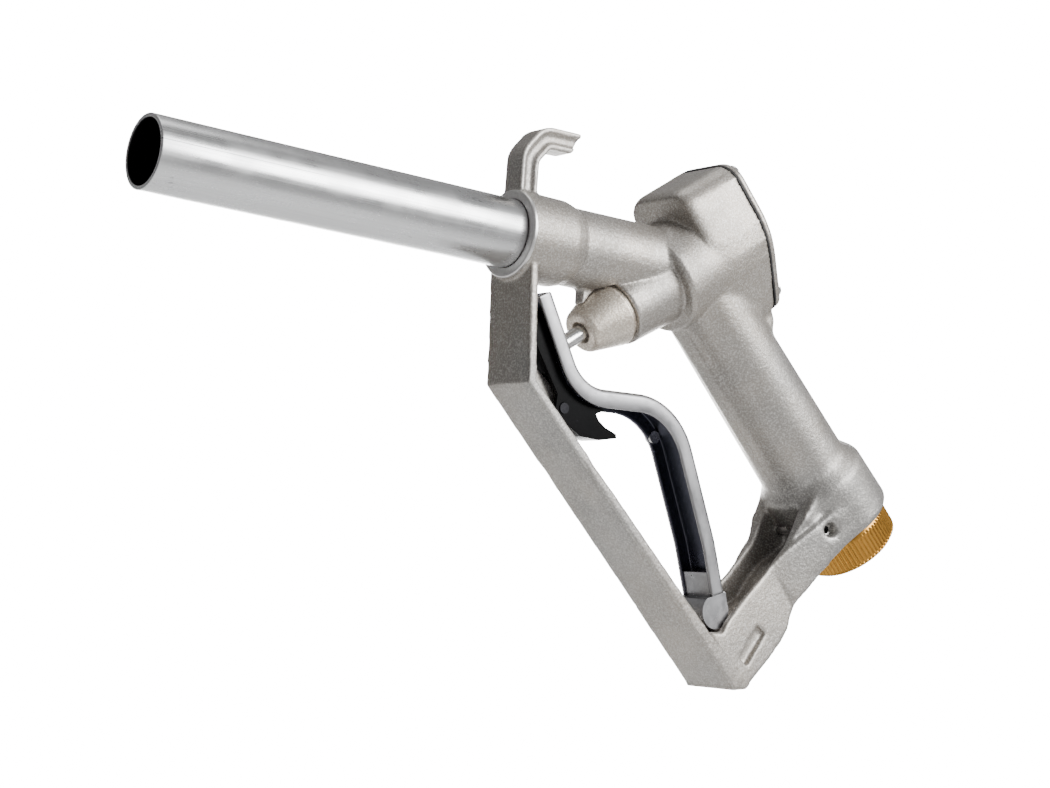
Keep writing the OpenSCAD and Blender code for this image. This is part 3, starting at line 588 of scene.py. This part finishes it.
# painted shade: the channel's inside is coloured nearly black for its shadow; the outside stays bright
tree, shader = nodes_of(zinc)
line, tangent = soft_path(PATH, PATH_RADII)
mesh_co = vertex_array(lever.data) / MM
closest = np.argmin(((mesh_co[:, None, ::2] - line) ** 2).sum(-1), 1)
right = np.stack([tangent[:, 1], -tangent[:, 0]], 1)[closest]
depth_in = np.sum((mesh_co[:, ::2] - line[closest]) * right, 1)
inside = (np.abs(mesh_co[:, 1]) < HALF_WIDTH - SHEET + 0.25) & (depth_in > SHEET - 0.4)
layer = lever.data.attributes.new("inside", "FLOAT", "POINT")
layer.data.foreach_set("value", inside.astype(np.float32))
overlay(tree, shader, remap(tree, attribute(tree, "inside"), 0.2, 0.8, 0, 1), (0.07, 0.072, 0.095))


def softened(node, name, body, mat, width, steps=3):
    """Copy of a CAD node with bevelled corners."""
    piece = bpy.data.objects.new(name, merged_copy(node))
    bpy.context.scene.collection.objects.link(piece)
    bm = bmesh.new()
    bm.from_mesh(piece.data)
    bmesh.ops.dissolve_limit(bm, angle_limit=math.radians(1), verts=bm.verts, edges=bm.edges)
    bm.to_mesh(piece.data)
    bm.free()
    applied(piece, "BEVEL", width=width * MM, segments=steps, limit_method="ANGLE",
            angle_limit=math.radians(32), harden_normals=False)
    piece.data.polygons.foreach_set("use_smooth", np.ones(len(piece.data.polygons), bool))
    piece.data.materials.clear()
    piece.data.materials.append(mat)
    applied(piece, "WEIGHTED_NORMAL", keep_sharp=False)
    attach(piece, body)
    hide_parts(node)
    return piece


softened("lever_pivot_block", "lever_root", "lever", zinc, 0.8)

# ---------------------------------------------------------------- hold-open latch
# Moulded black plastic hook that swings on a pin in the guard's corner.
plastic = bpy.data.materials.new("black_plastic")
tree, shader = nodes_of(plastic)
grain = noise(tree, 700, detail=3)
cloudy = remap(tree, noise(tree, 60), 0.3, 0.7, 0, 1)
black = mix(tree, cloudy, (0.001, 0.001, 0.0012), (0.002, 0.002, 0.0025))
link(tree, black, shader.inputs["Base Color"])
link(tree, remap(tree, grain, 0.3, 0.7, 0.3, 0.38), shader.inputs["Roughness"])
shader.inputs["Specular IOR Level"].default_value = 0.05
bump(tree, shader, grain, 0.00001, 0.3)
softened("hold_open_latch", "latch", "latch", plastic, 0.5)

# ---------------------------------------------------------------- swivel inlet
# Knurled ring on the hose swivel, turned brass with a gold finish; pipe thread inside.
PITCH, THREAD_DEPTH, R_THREAD = 2.309, 0.55, 15.15
TEETH, TOOTH_DEPTH, R_KNURL = 72, 0.6, 19.8


def knurl_and_thread(z, r, a):
    """Ring: -TOOTH_DEPTH |sin(TEETH a / 2)| ** 0.7. Bore: THREAD_DEPTH |2 frac(z / PITCH - a / 2 pi) - 1|."""
    on_ring = np.isclose(r, R_KNURL)
    knurl = -TOOTH_DEPTH * np.abs(np.sin(TEETH * a / 2)) ** 0.7
    in_bore = np.isclose(r, R_THREAD) & (z > -17.4) & (z < -0.6)
    phase = (z / PITCH - a / (2 * math.pi)) % 1.0
    return np.where(on_ring, knurl, 0) + np.where(in_bore, THREAD_DEPTH * np.abs(2 * phase - 1), 0)


bore = [(z, R_THREAD) for z in np.arange(-17.7, -0.2, PITCH / 8)]
knurled = [(z, R_KNURL) for z in np.linspace(-1, -9.9, 8)]
ring = [(-34.9, 11.5), (-20, 11.5), (-20, 15.5), (-17.8, 15.5), *bore, (-0.2, 15.2), (1, 16.4), (1, 18.25),
        (0.7, 18.5), (-0.3, 19.6), (-0.42, R_KNURL), *knurled, (-10.4, R_KNURL), (-10.6, 19.6),
        (-11.6, 18.9), (-12.7, 18.75), (-12.9, 18.5), (-12.9, 18), (-34.9, 18)]
verts, quads = lathe(ring, INLET_AT, HANDLE_DIR, TEETH * 8, knurl_and_thread)
gold = drawn_metal("gold_finish", (0.46, 0.23, 0.045), 0.27, lines=900)
mesh_piece("swivel_ring", verts, quads, "swivel", gold, ["inlet_swivel"])

# ---------------------------------------------------------------- seals, screws and inner pieces
# Rubber seals, steel screws and pins, brass valve parts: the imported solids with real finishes.
packing = bpy.data.materials.new("packing_plastic")
tree, shader = nodes_of(packing)
ivory = mix(tree, noise(tree, 200), (0.78, 0.77, 0.72), (0.86, 0.85, 0.82))
link(tree, ivory, shader.inputs["Base Color"])
link(tree, remap(tree, noise(tree, 300), 0.3, 0.7, 0.45, 0.6), shader.inputs["Roughness"])
bump(tree, shader, noise(tree, 900), 0.00003, 0.4)
brass = drawn_metal("turned_brass", (0.74, 0.55, 0.26), 0.25, lines=1000)
dark_steel = drawn_metal("blackened_steel", (0.018, 0.018, 0.02), 0.4, lines=1100)
wire = drawn_metal("spring_wire", (0.5, 0.5, 0.51), 0.3, lines=1100)


def coil(mean_r, wire_r, z0, z1, turns, sides=12, steps=40):
    """Coil about the valve axis: at angle a the wire is mean_r out and z0 + (z1 - z0) * a / end up."""
    count = int(turns * steps) + 1
    a = np.linspace(0, 2 * math.pi * turns, count)[:, None]
    b = np.arange(sides)[None, :] * 2 * math.pi / sides
    r = mean_r + wire_r * np.cos(b)
    z = z0 + (z1 - z0) * a / a[-1] + wire_r * np.sin(b)
    across, up = frame_of(VALVE_DIR)
    verts = (GLAND_AT + z[..., None] * VALVE_DIR + (r * np.cos(a))[..., None] * across
             + (r * np.sin(a))[..., None] * up)
    return verts.reshape(-1, 3), capped(count, sides)


# spring between poppet and cover, at one length; at full lever the real one shortens by the valve's travel
SPRING_FROM, SPRING_TO, VALVE_TRAVEL = 66.95, 83.95, 4.2
R_COIL, R_WIRE, TURNS = 9.5, 0.8, 3.5
verts, faces = coil(R_COIL, R_WIRE, SPRING_FROM, SPRING_TO, TURNS)
spring = mesh_piece("spring", verts, faces, "body", wire, ["valve_spring"])
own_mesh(spring)

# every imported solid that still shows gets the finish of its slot
SLOT_MATERIALS = {"seal_rubber": rubber, "packing": packing, "brass": brass, "steel": steel,
                  "dark_steel": dark_steel, "spring_steel": wire, "casting": casting_mat,
                  "zinc_plate": zinc, "black_plastic": plastic, "gold_ring": gold, "spout": spout_mat}
for part in frame["record"]["subparts"]:
    data = NODES[part["node"]].data
    data.materials.clear()
    data.materials.append(SLOT_MATERIALS[part["material_slot"]])

# ---------------------------------------------------------------- floor, light and camera
# Pale floor far below, a glowing white card behind, one soft key from the right, a weak light above
# and a dark card on the left.


def staged(name, corners, shade):
    """Flat four-sided card that isn't part of the object."""
    mesh = bpy.data.meshes.new(name)
    mesh.from_pydata([tuple(c) for c in corners], [], [(0, 1, 2, 3)])
    mat = bpy.data.materials.new(name)
    _, mat_shader = nodes_of(mat)
    mat_shader.inputs["Base Color"].default_value = (*shade, 1)
    mat_shader.inputs["Roughness"].default_value = 0.9
    mesh.materials.append(mat)
    card = bpy.data.objects.new(name, mesh)
    bpy.context.scene.collection.objects.link(card)
    return card


FLOOR_Z = -0.9
staged("floor", [(-9, -9, FLOOR_Z), (9, -9, FLOOR_Z), (9, 9, FLOOR_Z), (-9, 9, FLOOR_Z)], (0.93, 0.93, 0.93))
CARD_X = -0.75
staged("left_card", [(CARD_X, 1.0, -0.5), (CARD_X, -0.25, -0.5), (CARD_X, -0.25, 0.5), (CARD_X, 1.0, 0.5)],
       (0.05, 0.05, 0.05))

world = bpy.data.worlds.new("studio")
bpy.context.scene.world = world
world.use_nodes = True
background = world.node_tree.nodes["Background"]
background.inputs["Color"].default_value = (1, 1, 1, 1)
background.inputs["Strength"].default_value = 0.38


def area_light(name, at, aim, size, power):
    """Soft square light at a point, turned towards another."""
    lamp = bpy.data.lights.new(name, "AREA")
    lamp.size, lamp.energy = size, power
    obj = bpy.data.objects.new(name, lamp)
    bpy.context.scene.collection.objects.link(obj)
    direction = Vector(aim) - Vector(at)
    obj.matrix_world = Matrix.Translation(at) @ direction.to_track_quat("-Z", "Y").to_matrix().to_4x4()


# the camera's place, and the directions to its right, down and ahead
CAMERA_AT = np.array([-0.4389, -0.5950, -0.1409])
CAMERA_ROWS = np.array([[0.7874, -0.6111, 0.0813], [0.1330, 0.0397, -0.9903], [0.6020, 0.7905, 0.1126]])
BACKDROP_OFF, BACKDROP_HALF, BACKDROP_GLOW = 6, np.array([1.75, 1.35]), 16.0

sideways, _, ahead = CAMERA_ROWS
card_at, card_up = CAMERA_AT + BACKDROP_OFF * ahead, np.cross(sideways, ahead)
card = [card_at + a * BACKDROP_HALF[0] * sideways + b * BACKDROP_HALF[1] * card_up
        for a, b in ((-1, -1), (1, -1), (1, 1), (-1, 1))]
backdrop = staged("backdrop", card, (1, 1, 1))
back_shader = backdrop.data.materials[0].node_tree.nodes["Principled BSDF"]
back_shader.inputs["Emission Color"].default_value = (1, 1, 1, 1)
back_shader.inputs["Emission Strength"].default_value = BACKDROP_GLOW

area_light("key", (0.55, -0.95, 0.45), (0.06, 0, -0.04), 0.7, 24)
area_light("top", (0.0, 0.1, 1.1), (0.05, 0, -0.05), 0.6, 3)

camera = bpy.data.cameras.new("camera")
camera.lens, camera.sensor_width = 72, 36
camera_object = bpy.data.objects.new("camera", camera)
bpy.context.scene.collection.objects.link(camera_object)
# a camera looks down its own -Z, with Y up; the nearest true rotation is taken
turned_to = np.column_stack([CAMERA_ROWS[0], -CAMERA_ROWS[1], -CAMERA_ROWS[2]])
u, _, vt = np.linalg.svd(turned_to)
placed = Matrix((u @ vt).tolist()).to_4x4()
placed.translation = Vector(CAMERA_AT)
camera_object.matrix_world = placed
bpy.context.scene.camera = camera_object
